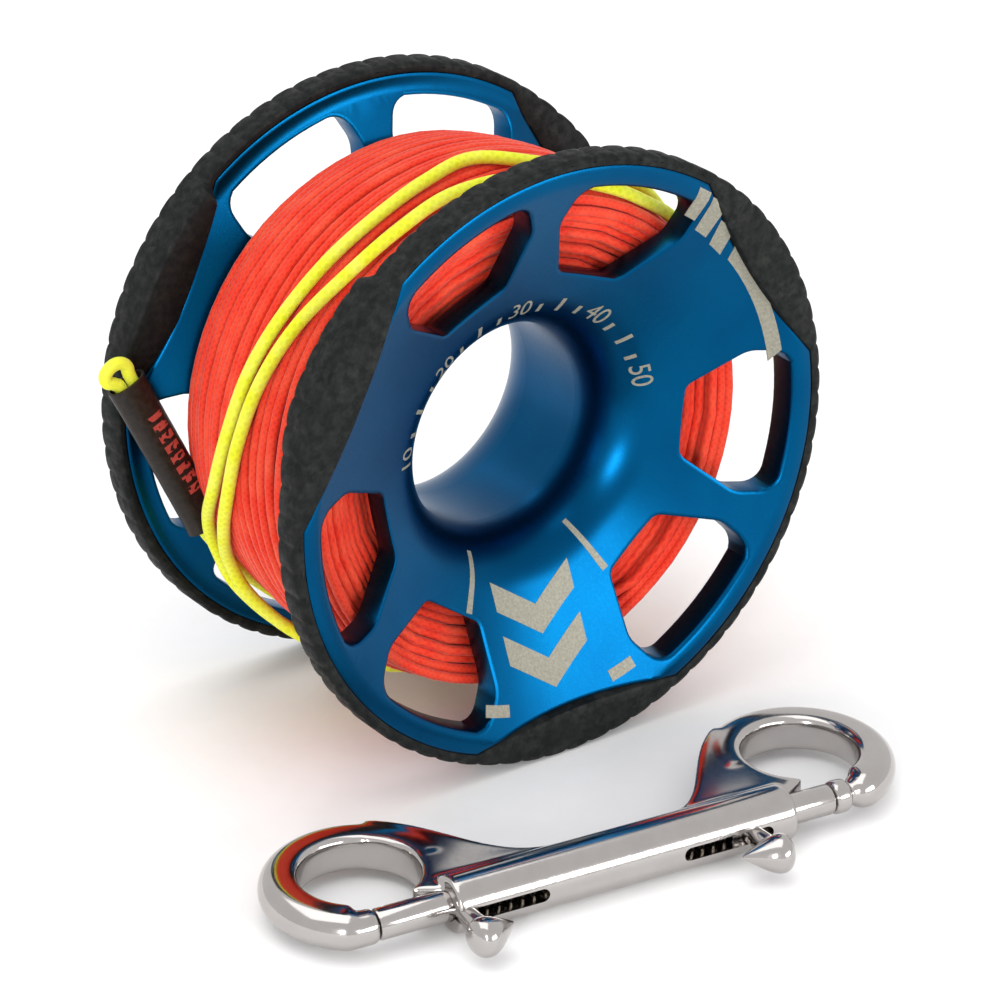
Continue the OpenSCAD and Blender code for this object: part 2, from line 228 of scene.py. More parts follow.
class Paint:
    """A material with a Principled shader, and short ways to add the nodes that feed it."""

    def __init__(self, name, colour, metallic=0.0, roughness=0.5, specular=0.5):
        self.material = bpy.data.materials.new(name)
        self.material.use_nodes = True
        self.tree = self.material.node_tree
        self.shader = self.tree.nodes["Principled BSDF"]
        self.set("Base Color", (*colour, 1))
        self.set("Metallic", metallic)
        self.set("Roughness", roughness)
        self.set("Specular IOR Level", specular)
        self.height = None

    def set(self, socket, value):
        self.shader.inputs[socket].default_value = value

    def node(self, kind, settings=None, **inputs):
        made = self.tree.nodes.new(kind)
        for name, value in (settings or {}).items():
            setattr(made, name, value)
        for name, value in inputs.items():
            self.feed(made.inputs[name.replace("_", " ")], value)
        return made

    def feed(self, socket, value):
        if isinstance(value, bpy.types.NodeSocket):
            self.tree.links.new(value, socket)
        else:
            socket.default_value = value

    def place(self):
        """Object coordinates, in metres."""
        return self.node("ShaderNodeTexCoord").outputs["Object"]

    def own_uv(self):
        return self.node("ShaderNodeUVMap", {"uv_map": "UVMap"}).outputs["UV"]

    def speckle(self, vector, size, detail=4.0, roughness=0.6):
        """Noise whose grains are about that many metres across."""
        made = self.node("ShaderNodeTexNoise", Vector=vector, Scale=1 / size, Detail=detail,
                         Roughness=roughness)
        return made.outputs["Fac"]

    def maths(self, operation, a, b=0.0):
        made = self.node("ShaderNodeMath", {"operation": operation})
        self.feed(made.inputs[0], a)
        self.feed(made.inputs[1], b)
        return made.outputs[0]

    def ranged(self, value, low, high, to_low, to_high):
        made = self.node("ShaderNodeMapRange", Value=value)
        for name, number in (("From Min", low), ("From Max", high),
                             ("To Min", to_low), ("To Max", to_high)):
            made.inputs[name].default_value = number
        return made.outputs["Result"]

    def blend(self, factor, a, b):
        made = self.node("ShaderNodeMix", {"data_type": "RGBA"})
        self.feed(made.inputs[0], factor)
        self.feed(made.inputs[6], (*a, 1) if isinstance(a, tuple) else a)
        self.feed(made.inputs[7], (*b, 1) if isinstance(b, tuple) else b)
        return made.outputs[2]

    def colour(self, socket):
        self.tree.links.new(socket, self.shader.inputs["Base Color"])

    def roughness(self, socket):
        self.tree.links.new(socket, self.shader.inputs["Roughness"])

    def bump(self, height, strength, distance):
        made = self.node("ShaderNodeBump", Height=height, Strength=strength, Distance=distance)
        if self.height:
            self.tree.links.new(self.height, made.inputs["Normal"])
        self.height = made.outputs["Normal"]
        self.tree.links.new(self.height, self.shader.inputs["Normal"])


def floor_paint():
    p = Paint("studio_floor", (0.9, 0.9, 0.9), roughness=0.9, specular=0.1)
    grain = p.speckle(p.place(), 0.004)
    p.colour(p.blend(grain, (0.89, 0.89, 0.89), (0.93, 0.93, 0.93)))
    return p.material


def anodised_paint():
    """Satin blue anodising: fine blasted grain, with faint cloudy shifts of the dye."""
    p = Paint("anodised_blue", (0.001, 0.07, 0.2), metallic=1.0, roughness=0.34)
    clouds = p.speckle(p.place(), 0.02, detail=2)
    p.colour(p.blend(p.ranged(clouds, 0.35, 0.65, 0, 1), (0.001, 0.06, 0.158),
                     (0.001, 0.075, 0.188)))
    grain = p.speckle(p.place(), 0.00025, detail=2)
    p.roughness(p.ranged(grain, 0.3, 0.7, 0.27, 0.34))
    p.bump(grain, 0.1, 0.00002)
    return p.material


def engraving_paint():
    """Bare aluminium where a laser has taken the dye off."""
    p = Paint("engraved_marks", (0.42, 0.41, 0.36), metallic=0.35, roughness=0.55)
    grain = p.speckle(p.place(), 0.0004)
    p.colour(p.blend(p.ranged(grain, 0.3, 0.7, 0, 1), (0.2, 0.19, 0.15), (0.31, 0.3, 0.24)))
    p.bump(grain, 0.3, 0.00003)
    return p.material


def rubber_paint():
    """Matt moulded rubber with a leathery grain and a dusty bloom on its high spots."""
    p = Paint("grip_rubber", (0.01, 0.011, 0.011), roughness=0.6, specular=0.16)
    pits = p.speckle(p.place(), 0.0014, detail=5)
    patches = p.speckle(p.place(), 0.004, detail=3)
    worn = p.maths("MULTIPLY", p.ranged(pits, 0.4, 0.68, 0, 1),
                   p.ranged(patches, 0.35, 0.65, 0.25, 1))
    p.colour(p.blend(worn, (0.004, 0.005, 0.005), (0.017, 0.019, 0.017)))
    p.roughness(p.ranged(pits, 0.35, 0.65, 0.72, 0.5))
    p.bump(pits, 0.35, 0.00025)
    return p.material


def braid_paint(name, deep, light, pale, rib, length):
    """Braided line: crossed yarns drawn on the cord's own UV map, which runs 0 to 1 along it, with
    painted shade darkening the grooves between the yarns.
    """
    p = Paint(name, light, roughness=0.6, specular=0.2)
    p.set("Sheen Weight", 0.12)
    p.set("Sheen Roughness", 0.5)
    split = p.node("ShaderNodeSeparateXYZ", Vector=p.own_uv())
    along = split.outputs["X"]
    round_it = p.maths("MULTIPLY", split.outputs["Y"], 4 * 2 * math.pi)
    run = p.maths("MULTIPLY", along, 2 * math.pi * length / rib)
    left = p.maths("SINE", p.maths("ADD", run, round_it))
    right = p.maths("SINE", p.maths("SUBTRACT", run, round_it))
    yarn = p.maths("MAXIMUM", left, right)
    fibre = p.speckle(p.place(), 0.0003, detail=3)
    patches = p.speckle(p.place(), 0.005, detail=3)
    # deep is painted shade in the grooves between the yarns; light is the yarn's own colour.
    base = p.blend(p.ranged(yarn, -0.4, 1, 0.55, 1), deep, light)
    faded = p.maths("MULTIPLY", p.ranged(patches, 0.4, 0.7, 0, 0.45),
                    p.ranged(fibre, 0.3, 0.7, 0.3, 1))
    p.colour(p.blend(faded, base, pale))
    p.bump(yarn, 0.2, 0.00006)
    p.bump(fibre, 0.25, 0.00006)
    return p.material


def sleeve_paint():
    """Black shrunk tubing with a row of plain red blocks printed along its lower half."""
    p = Paint("shrink_sleeve", (0.01, 0.007, 0.006), roughness=0.48, specular=0.3)
    split = p.node("ShaderNodeSeparateXYZ", Vector=p.own_uv())
    along, around = split.outputs["X"], split.outputs["Y"]
    grime = p.speckle(p.place(), 0.0009, detail=4)
    block_pitch = 0.0021
    wave = p.maths("SINE", p.maths("MULTIPLY", along, 2 * math.pi / block_pitch))
    block = p.maths("GREATER_THAN", wave, -0.45)
    cut = p.maths("GREATER_THAN", p.speckle(p.own_uv(), 0.0011, detail=1), 0.44)
    start = p.maths("GREATER_THAN", along, 0.0065)
    end = p.maths("LESS_THAN", along, 0.0225)
    side = p.maths("LESS_THAN", p.maths("ABSOLUTE", p.maths("SUBTRACT", around, 0.0105)), 0.0011)
    mask = block
    for part in (cut, start, end, side):
        mask = p.maths("MULTIPLY", mask, part)
    ink = p.blend(grime, (0.30, 0.03, 0.025), (0.5, 0.09, 0.07))
    body = p.blend(p.ranged(grime, 0.35, 0.7, 0, 1), (0.007, 0.005, 0.004),
                   (0.022, 0.015, 0.012))
    p.colour(p.blend(mask, body, ink))
    p.roughness(p.ranged(grime, 0.3, 0.7, 0.34, 0.52))
    p.bump(grime, 0.3, 0.00008)
    return p.material


def polished_paint():
    """Polished stainless steel with faint buffing haze."""
    p = Paint("polished_steel", (0.6, 0.575, 0.565), metallic=1.0, roughness=0.09)
    haze = p.speckle(p.place(), 0.004, detail=4)
    p.colour(p.blend(haze, (0.42, 0.395, 0.385), (0.5, 0.475, 0.46)))
    stretched = p.node("ShaderNodeMapping", Vector=p.place(), Scale=(1, 6, 6)).outputs[0]
    scuffs = p.speckle(stretched, 0.0009)
    p.roughness(p.ranged(scuffs, 0.35, 0.7, 0.1, 0.19))
    p.bump(scuffs, 0.04, 0.00002)
    return p.material


def shaded_spring_paint():
    # The steel's colours are kept dark as painted shade for the bore it sits in; the noise adds
    # tarnish patches.
    p = Paint("spring_steel", (0.2, 0.18, 0.15), metallic=1.0, roughness=0.35)
    tarnish = p.speckle(p.place(), 0.0006, detail=3)
    p.colour(p.blend(tarnish, (0.12, 0.105, 0.08), (0.3, 0.27, 0.22)))
    p.roughness(p.ranged(tarnish, 0.3, 0.7, 0.22, 0.42))
    return p.material


# ---- shared mesh work ----

def finish_piece(name, source, body, paint, replaced=(), place=None, sharp=35):
    """Makes a piece from a bmesh in millimetres."""
    mesh = bpy.data.meshes.new(name)
    source.to_mesh(mesh)
    source.free()
    mesh.transform(Matrix.Scale(MM, 4) @ (place or Matrix()))
    mesh.shade_smooth()
    mesh.set_sharp_from_angle(angle=math.radians(sharp))
    mesh.materials.append(paint)
    return add_piece(name, mesh, body, replaced)


def add_piece(name, data, body, replaced=()):
    piece = bpy.data.objects.new(name, data)
    bpy.context.scene.collection.objects.link(piece)
    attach(piece, body)
    if replaced:
        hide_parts(*replaced)
    return piece


def polar(radius, degrees):
    angle = math.radians(degrees)
    return Vector((radius * math.cos(angle), radius * math.sin(angle)))


def add_loop(bm, points, z=0.0):
    """A closed loop of edges through flat points."""
    verts = [bm.verts.new((p[0], p[1], z)) for p in points]
    edges = [bm.edges.new((a, b)) for a, b in zip(verts, verts[1:] + verts[:1])]
    return verts, edges


def rounded(points, radii, steps=6):
    """A flat polygon with each corner rounded to its own radius."""
    out = []
    count = len(points)
    for i, (corner, radius) in enumerate(zip(points, radii)):
        corner = Vector(corner)
        u = (Vector(points[i - 1]) - corner).normalized()
        v = (Vector(points[(i + 1) % count]) - corner).normalized()
        half = math.acos(max(-1, min(1, u.dot(v)))) / 2
        if radius == 0 or half > math.radians(88):
            out.append(corner)
            continue
        middle = corner + (u + v).normalized() * radius / math.sin(half)
        first = corner + u * radius / math.tan(half) - middle
        last = corner + v * radius / math.tan(half) - middle
        start = math.atan2(first.y, first.x)
        turn = math.atan2(last.y, last.x) - start
        turn = (turn + math.pi) % (2 * math.pi) - math.pi
        for k in range(steps + 1):
            angle = start + turn * k / steps
            out.append(middle + radius * Vector((math.cos(angle), math.sin(angle))))
    return out


def verts_in(geom):
    return [g for g in geom if isinstance(g, bmesh.types.BMVert)]


def turned(points, degrees):
    spin = Matrix.Rotation(math.radians(degrees), 2)
    return [spin @ Vector(p) for p in points]


def spin_section(bm, section, steps=SECTORS, closed=True):
    """Spins a section of [radius, height] points a full turn round Z."""
    verts = [bm.verts.new((r, 0, z)) for r, z in section]
    after = verts[1:] + verts[:1] if closed else verts[1:]
    edges = [bm.edges.new(pair) for pair in zip(verts, after)]
    bmesh.ops.spin(bm, geom=verts + edges, cent=(0, 0, 0), axis=(0, 0, 1), dvec=(0, 0, 0),
                   angle=2 * math.pi, steps=steps, use_merge=True)


def smooth_step(value, low, high):
    t = max(0.0, min(1.0, (value - low) / (high - low)))
    return t * t * (3 - 2 * t)


TO_FRONT = Matrix.Rotation(math.radians(90), 4, "X")
TO_REAR = Matrix.Scale(-1, 4, (0, 1, 0)) @ TO_FRONT


# ---- flanges ----

def notch_edge(degrees):
    """Distance from the axis to the nearest pad's inner edge along a ray, or None past its ends."""
    off = min((math.radians((degrees - a + 180) % 360 - 180) for a in PAD_ANGLES), key=abs)
    if abs(off) > math.radians(40):
        return None
    return NOTCH_AT * math.cos(off) - math.sqrt(NOTCH_R ** 2 - (NOTCH_AT * math.sin(off)) ** 2)


def plate_edge(degrees):
    notch = notch_edge(degrees)
    return PLATE_R if notch is None else min(PLATE_R, notch)


def notch_reach(radius):
    """Half angle at which a pad's inner edge crosses a circle, in degrees."""
    cosine = (NOTCH_AT ** 2 + radius ** 2 - NOTCH_R ** 2) / (2 * radius * NOTCH_AT)
    return math.degrees(math.acos(cosine))


def plate_outline():
    corners = [a + side * notch_reach(PLATE_R) for a in PAD_ANGLES for side in (-1, 1)]
    angles = sorted([a % 360 for a in corners] + [360 * k / SECTORS for k in range(SECTORS)])
    return [polar(plate_edge(a), a) for a in angles]


def window_outline():
    """One window, pointing along +X."""
    half = WINDOW_W / 2
    shoulder = WINDOW_R[0] + WINDOW_SHOULDER
    reach = math.degrees(math.asin(half / WINDOW_R[1]))
    rim = [polar(WINDOW_R[1], reach * k / 6) for k in range(-6, 7)]
    points = [Vector((WINDOW_R[0], WINDOW_FOOT)), Vector((WINDOW_R[0], -WINDOW_FOOT)),
              Vector((shoulder, -half)), *rim, Vector((shoulder, half))]
    radii = [2, 2, 4, 3.4] + [0] * (len(rim) - 2) + [3.4, 4]
    return clean_outline(rounded(points, radii))


def clean_outline(points):
    """Drops the rim points that a rounded corner has overtaken."""
    kept = []
    for p in points:
        if kept and (p - kept[-1]).dot(Vector((-p.y, p.x))) < 0 and p.length > WINDOW_R[1] - 0.02:
            continue
        kept.append(p)
    return kept


def dish_drop(radius):
    """How far the dished face lies below the flat rim, with a soft crease between them."""
    inward = FLAT_R - radius
    if inward > CREASE:
        return inward * DISH
    if inward < -CREASE:
        return 0.0
    return DISH * (inward + CREASE) ** 2 / (4 * CREASE)


def lip_section(steps=14):
    """The funnel's arc, from the throat up to where it meets the dish."""
    lean = math.degrees(math.atan(DISH))
    lip_r = THROAT_R + FUNNEL_R * (1 - math.sin(math.radians(lean)))
    lip_z = FACE - (FLAT_R - lip_r) * DISH
    throat_z = lip_z - FUNNEL_R * math.cos(math.radians(lean))
    arc = []
    for k in range(steps + 1):
        angle = math.radians(180 - (90 - lean) * k / steps)
        arc.append((THROAT_R + FUNNEL_R + FUNNEL_R * math.cos(angle),
                    throat_z + FUNNEL_R * math.sin(angle)))
    return arc, throat_z


def round_caps(bm, edge):
    """Rounds the outer edges of both caps of a flat plate, and adds a narrow flat margin."""
    for up in (1, -1):
        cap = [f for f in bm.faces if f.normal.z * up > 0.9]
        for inward, rise in ((0.29 * edge, 0.71 * edge), (0.71 * edge, 0.29 * edge), (0.3, 0)):
            bmesh.ops.inset_region(bm, faces=cap, thickness=inward, depth=rise,
                                   use_even_offset=True, use_boundary=True)


def cut_sectors(bm):
    for k in range(SECTORS // 2):
        across = polar(1, 360 * k / SECTORS + 90)
        bmesh.ops.bisect_plane(bm, geom=bm.verts[:] + bm.edges[:] + bm.faces[:], dist=1e-4,
                               plane_co=(0, 0, 0), plane_no=(*across, 0))


def cut_ring(bm, radius):
    """Cuts a ring of edges, one chord for each sector."""
    sectors = {}
    for face in bm.faces:
        middle = face.calc_center_median()
        reach = max(v.co.xy.length for v in face.verts)
        if reach > radius - 0.01 and abs(face.normal.z) > 0.1:
            angle = math.degrees(math.atan2(middle.y, middle.x)) % 360
            sectors.setdefault(int(angle * SECTORS / 360), []).append(face)
    step = 360 / SECTORS
    for index, faces in sectors.items():
        out = polar(1, (index + 0.5) * step)
        near = radius * math.cos(math.radians(step / 2))
        geom = set(faces)
        for face in faces:
            geom.update(face.edges)
            geom.update(face.verts)
        bmesh.ops.bisect_plane(bm, geom=list(geom), dist=1e-4, plane_co=(*(out * near), 0),
                               plane_no=(*out, 0))


def flange_bmesh():
    """Dished plate with six windows and three notches, joined to its funnel and spigot."""
    bm = bmesh.new()
    edges = add_loop(bm, plate_outline())[1]
    for pair in WINDOW_PAIRS:
        for side in (-1, 1):
            edges += add_loop(bm, turned(window_outline(), pair + side * WINDOW_HALF_ANGLE))[1]
    ring = [polar(FUNNEL_EDGE_R, 360 * k / SECTORS) for k in range(SECTORS)]
    circle, circle_edges = add_loop(bm, ring)
    bmesh.ops.triangle_fill(bm, use_beauty=True, use_dissolve=False, edges=edges + circle_edges)
    bm.faces.new(circle)
    made = bmesh.ops.extrude_face_region(bm, geom=bm.faces[:])["geom"]
    bmesh.ops.translate(bm, verts=verts_in(made), vec=(0, 0, 2 * PLATE_EDGE - FLANGE_T))
    bmesh.ops.recalc_face_normals(bm, faces=bm.faces)
    round_caps(bm, PLATE_EDGE)
    discs = [f for f in bm.faces
             if abs(f.normal.z) > 0.9 and f.calc_center_median().xy.length < 1]
    bmesh.ops.delete(bm, geom=discs, context="FACES_ONLY")
    cut_sectors(bm)
    for radius in (FLAT_R - CREASE, FLAT_R, FLAT_R + CREASE):
        cut_ring(bm, radius)
    for v in bm.verts:
        v.co.z += FACE - PLATE_EDGE - dish_drop(v.co.xy.length)
    add_funnel(bm)
    bmesh.ops.remove_doubles(bm, verts=bm.verts, dist=0.005)
    bmesh.ops.recalc_face_normals(bm, faces=bm.faces)
    return bm


def add_funnel(bm):
    arc, throat_z = lip_section()
    step_z = throat_z + SPIGOT_LENGTH
    back_z = FACE - FLANGE_T
    section = [(FUNNEL_EDGE_R, FACE - dish_drop(FUNNEL_EDGE_R)), *reversed(arc),
               (SPIGOT_R, throat_z), (SPIGOT_R, step_z), (HUB_R, step_z),
               (HUB_R, back_z - dish_drop(HUB_R)),
               (FUNNEL_EDGE_R, back_z - dish_drop(FUNNEL_EDGE_R))]
    spin_section(bm, section, closed=False)


def build_flanges(paint):
    front = flange_bmesh()
    rear = front.copy()
    bmesh.ops.reverse_faces(rear, faces=rear.faces)
    finish_piece("front_plate", front, "spool", paint, ["front_flange"], TO_FRONT)
    finish_piece("rear_plate", rear, "spool", paint, ["rear_flange"], TO_REAR)


def build_hub(paint):
    """The finger hole's straight wall, with its outer step between the spigots."""
    throat_z = lip_section()[1]
    step_z = throat_z + SPIGOT_LENGTH
    bm = bmesh.new()
    spin_section(bm, [(THROAT_R, -throat_z), (SPIGOT_R, -throat_z), (SPIGOT_R, -step_z),
                      (HUB_R, -step_z), (HUB_R, step_z), (SPIGOT_R, step_z), (SPIGOT_R, throat_z),
                      (THROAT_R, throat_z)])
    bmesh.ops.recalc_face_normals(bm, faces=bm.faces)
    finish_piece("hub_tube", bm, "spool", paint, ["hub_barrel"], TO_FRONT)


# ---- marks on the front face ----

def band_bar(start, end, r0, r1, slant=0.0, steps=10):
    """A bar between two angles and two radii, with its outer edge shifted by slant degrees."""
    inner = [polar(r0, start + (end - start) * k / steps) for k in range(steps + 1)]
    outer = [polar(r1, end + slant + (start - end) * k / steps) for k in range(steps + 1)]
    return inner + outer


def mark_outlines():
    """Plain stripes, a double chevron and a graduated ring in place of any lettering."""
    marks = [band_bar(57.5, 54.3, 42.3, 47.2, 1.5), band_bar(52.3, 48.4, 41.2, 46.8, 2.5),
             band_bar(46.2, 41.8, 40.8, 44.6, 3), band_bar(39.4, 9.5, 41.2, 43.4, 2)]
    marks += [band_bar(-62.5, -60, 19.5, 28), band_bar(-119, -116.5, 19.5, 28),
              band_bar(-76, -69.5, 40.6, 42.4), band_bar(-110, -103.5, 40.6, 42.4)]
    half, arm, stroke = 7.5, 5.2, 4.4
    for tip in (-31.5, -39.5):
        end = tip + arm
        marks.append([Vector(p) for p in ((-half, end), (0, tip), (half, end), (half, end + stroke),
                                          (0, tip + stroke), (-half, end + stroke))])
    for k in range(17):
        angle = SCALE_START - SCALE_STEP * k
        if k % 4:
            marks.append(band_bar(angle + 0.9, angle - 0.9, SCALE_R, 23 + 0.9 * (k % 4 == 2), 0, 2))
    return marks


def drop_on_dish(bm, lift):
    """Lays flat shapes on the front face, lifted by a hair."""
    arc = lip_section(40)[0]
    for v in bm.verts:
        radius = v.co.xy.length
        if radius > arc[-1][0]:
            v.co.z += FACE - dish_drop(radius) + lift
        else:
            height = FUNNEL_R ** 2 - (THROAT_R + FUNNEL_R - radius) ** 2
            v.co.z += arc[0][1] + math.sqrt(max(height, 0)) + lift


def grid_cut(bm, pitch, reach):
    """Cuts flat faces on a square grid, so that they can follow a curved face."""
    steps = int(reach / pitch)
    for k in range(-steps, steps + 1):
        for normal in ((1, 0, 0), (0, 1, 0)):
            bmesh.ops.bisect_plane(bm, geom=bm.verts[:] + bm.edges[:] + bm.faces[:], dist=1e-4,
                                   plane_co=Vector(normal) * k * pitch, plane_no=normal)


def numeral_outline_mesh(text, angle, radius, height):
    """A numeral as flat faces, standing outwards on the ring."""
    curve = bpy.data.curves.new("numeral", "FONT")
    curve.body = text
    curve.size = height
    curve.align_x = "CENTER"
    holder = bpy.data.objects.new("numeral", curve)
    bpy.context.scene.collection.objects.link(holder)
    bpy.context.view_layer.update()
    graph = bpy.context.evaluated_depsgraph_get()
    mesh = bpy.data.meshes.new_from_object(holder.evaluated_get(graph))
    bpy.data.objects.remove(holder)
    bpy.data.curves.remove(curve)
    turn = Matrix.Rotation(math.radians(angle - 90), 4, "Z")
    mesh.transform(turn @ Matrix.Translation((0, radius, 0)))
    return mesh


def build_marks(paint):
    bm = bmesh.new()
    for outline in mark_outlines():
        bm.faces.new([bm.verts.new((p.x, p.y, 0)) for p in outline])
    for k, text in enumerate(("10", "20", "30", "40", "50")):
        mesh = numeral_outline_mesh(text, SCALE_START - 4 * SCALE_STEP * k, SCALE_R, 4.2)
        bm.from_mesh(mesh)
        bpy.data.meshes.remove(mesh)
    bmesh.ops.triangulate(bm, faces=bm.faces)
    bmesh.ops.recalc_face_normals(bm, faces=bm.faces)
    down = [f for f in bm.faces if f.normal.z < 0]
    bmesh.ops.reverse_faces(bm, faces=down)
    grid_cut(bm, 0.9, PLATE_R)
    made = bmesh.ops.extrude_face_region(bm, geom=bm.faces[:], use_keep_orig=True)["geom"]
    bmesh.ops.translate(bm, verts=verts_in(made), vec=(0, 0, MARK_T))
    bmesh.ops.recalc_face_normals(bm, faces=bm.faces)
    drop_on_dish(bm, MARK_LIFT - MARK_T)
    finish_piece("front_marks", bm, "spool", paint, (), TO_FRONT)


# ---- rubber grip bands ----

def lug_height(degrees):
    """Height lost at a point of the tread, which is a ring of low rounded lugs."""
    lugs = 72
    across = abs((degrees * lugs / 360) % 1 - 0.5) * 2
    return 0.26 * across ** 4 + 0.06 * across ** 2


def pad_depth(degrees):
    """Depth of the band at an angle: pads are deep, with one steep and one long slope."""
    deepest = BAND_DEPTH
    for a in PAD_ANGLES:
        off = (degrees - a + 180) % 360 - 180
        share = smooth_step(off, -22.5, -20.5) * (1 - smooth_step(off, 3, 20))
        deepest = max(deepest, BAND_DEPTH + (PAD_DEPTH - BAND_DEPTH) * share)
    return deepest


def band_bmesh():
    """Band with its inner edge on the plate and lugs round its tread.

    Each spot of the section is a share of the way out, a rise from its face and a shift of radius.
    """
    soft = 0.8
    outer_face = [(0, -0.25, 0), (0.3, 0, 0), (0.5, 0, 0), (1, 0, -soft),
                  (1, -0.3 * soft, -0.3 * soft), (1, -soft, 0)]
    inner_face = [(share, -rise, shift) for share, rise, shift in reversed(outer_face)]
    spots = outer_face + inner_face
    bm = bmesh.new()
    spin_section(bm, [(PLATE_R + k * 0.1, -k) for k in range(len(spots))], steps=720)
    for v in bm.verts:
        angle = math.degrees(math.atan2(v.co.y, v.co.x)) % 360
        index = round(-v.co.z)
        share, rise, shift = spots[index]
        inward = index >= len(outer_face)
        inner = plate_edge(angle)
        outer = RIM_R - (lug_height(angle) if share == 1 else 0)
        if share < 0.4:
            radius = inner + 0.3 * (share > 0)
        elif share < 1:
            radius = (inner + outer) / 2
        else:
            radius = outer + shift
        level = BAND_FACE - (pad_depth(angle) if inward else 0)
        wave = noise.noise(Vector((*polar(9, angle), level))) * 0.12
        v.co.xy = polar(radius, angle)
        v.co.z = level + rise + (wave if share > 0 and inward else -abs(wave))
    bmesh.ops.recalc_face_normals(bm, faces=bm.faces)
    return bm


def build_bands(paint):
    front = band_bmesh()
    rear = front.copy()
    bmesh.ops.reverse_faces(rear, faces=rear.faces)
    finish_piece("front_grip", front, "spool", paint, ["front_grip_band"],
                 TO_FRONT, sharp=50)
    finish_piece("rear_grip", rear, "spool", paint, ["rear_grip_band"],
                 TO_REAR, sharp=50)


# ---- line, leader, knot and sleeve ----

def add_cord_curve(name, points, diameter, paint, body, replaced, sides=8):
    """A round cord along points in millimetres, as one open spline."""
    curve = bpy.data.curves.new(name, "CURVE")
    curve.dimensions = "3D"
    curve.bevel_depth = diameter / 2 * MM
    curve.bevel_resolution = (sides - 4) // 2
    curve.use_fill_caps = True
    spline = curve.splines.new("POLY")
    spline.points.add(len(points) - 1)
    flat = [c for p in points for c in (p[0] * MM, p[1] * MM, p[2] * MM, 1)]
    spline.points.foreach_set("co", flat)
    spline.use_smooth = True
    curve.materials.append(paint)
    return add_piece(name, curve, body, replaced)


def on_pack(degrees, radius, y):
    flat = polar(radius, degrees)
    return Vector((flat.x, y, flat.y))


def smooth_path(points, steps):
    """A smooth curve through points, with that many steps for each stretch."""
    pts = [Vector(p) for p in points]
    ext = [2 * pts[0] - pts[1], *pts, 2 * pts[-1] - pts[-2]]
    out = []
    for a, b, c, d in zip(ext, ext[1:], ext[2:], ext[3:]):
        for k in range(steps):
            t = k / steps
            out.append(0.5 * (2 * b + (c - a) * t + (2 * a - 5 * b + 4 * c - d) * t * t
                              + (3 * b - a - 3 * c + d) * t ** 3))
    return [*out, pts[-1]]


def path_length(points):
    return sum((b - a).length for a, b in zip(points, points[1:]))


def groove_half_width(radius):
    return FACE - FLANGE_T - dish_drop(radius) - LINE_D / 2 - 0.15


def crown_radius(y):
    """Radius of the pack's bulging surface at a place along the axis."""
    return PACK_R + CROWN * (1 - min(1, abs(y) / (FACE - FLANGE_T - dish_drop(PACK_R))) ** 2)


def winding_layers():
    first = HUB_R + LINE_D / 2
    last = PACK_R - LINE_D / 2 - 0.1
    return [first + (last - first) * k / (LAYERS - 1) for k in range(LAYERS)]


def winding_points(pitch):
    """The line wound to and fro in layers, a little unevenly in the outer ones."""
    layers = winding_layers()
    points = []
    angle = 281.0
    low, high = layers[0], layers[-1]
    for index, radius in enumerate(layers):
        half = groove_half_width(radius)
        way = 1 if index % 2 else -1
        outer = index >= len(layers) - 2
        each_turn = 64 if outer else 30
        steps = max(12, round(2 * half / pitch * each_turn))
        for k in range(steps):
            t = k / steps
            y = way * half * (2 * t - 1)
            uneven = noise.noise(Vector((y * 0.23, *polar(1.3, angle)))) + 0.5 * noise.noise(
                Vector((y * 0.9, *polar(2.2, angle))))
            swell = uneven * (0.5 if outer else 0.25) * smooth_step(index, 1, 6)
            swell += (crown_radius(y) - PACK_R) * (radius - low) / (high - low)
            drift = noise.noise(Vector((y * 0.35 + 40, *polar(1.1, angle))))
            drift *= 0.9 if outer else 0.4
            drift *= 1 - smooth_step(abs(y), half - 3, half)
            place = y + drift
            reach = min(radius + swell, crown_radius(place) - LINE_D / 2)
            points.append(on_pack(angle, reach, place))
            angle += 360 / each_turn
    return points


def build_line(paint):
    turns_area = sum(2 * math.pi * r * 2 * groove_half_width(r) for r in winding_layers())
    pitch = turns_area / (LINE_LENGTH / MM)
    for _ in range(3):
        points = winding_points(pitch)
        pitch *= path_length(points) * MM / LINE_LENGTH
    line = add_cord_curve("guideline_turns", points, LINE_D, paint, "spool",
                          ["line_pack", "anchor_hitch"])


def in_sleeve(across, t):
    return SLEEVE_TOP.lerp(SLEEVE_END, t) + SLEEVE_ACROSS * across


def leader_path():
    loop = [SLEEVE_TOP + SLEEVE_ACROSS * q[0] - SLEEVE_ALONG * q[1] for q in LOOP_POINTS]
    points = [on_pack(*c) for c in reversed(STRAND_A)]
    points += [in_sleeve(-STRAND_PITCH, t) for t in (0.93, 0.5, 0.05)]
    points += loop
    points += [in_sleeve(STRAND_PITCH, t) for t in (0.05, 0.5, 0.93)]
    points += [on_pack(*c) for c in STRAND_B]
    return smooth_path(points, 8)


def build_leader(paint, sleeve_material):
    points = leader_path()
    leader = add_cord_curve("leader_strands", points, LEADER_D, paint, "spool",
                            ["leader"], sides=12)
    knot = build_knot(paint)
    sleeve = build_sleeve(sleeve_material)


def build_knot(paint):
    """A small overhand knot, pulled tight, drawn as a flattened trefoil."""
    centre = on_pack(*KNOT_AT)
    out = on_pack(KNOT_AT[0], 1, 0).normalized()
    side = Vector((0, 1, 0))
    run = out.cross(side)
    count = 90
    points = []
    for k in range(count + 1):
        t = 2 * math.pi * k / count
        x = math.sin(t) + 2 * math.sin(2 * t)
        y = math.cos(t) - 2 * math.cos(2 * t)
        z = -math.sin(3 * t)
        points.append(centre + run * x * 1.05 + side * y * 0.75 + out * z * 0.7)
    return add_cord_curve("joining_knot", points, LEADER_D * 0.8, paint, "spool",
                          ["line_knot"], sides=10)


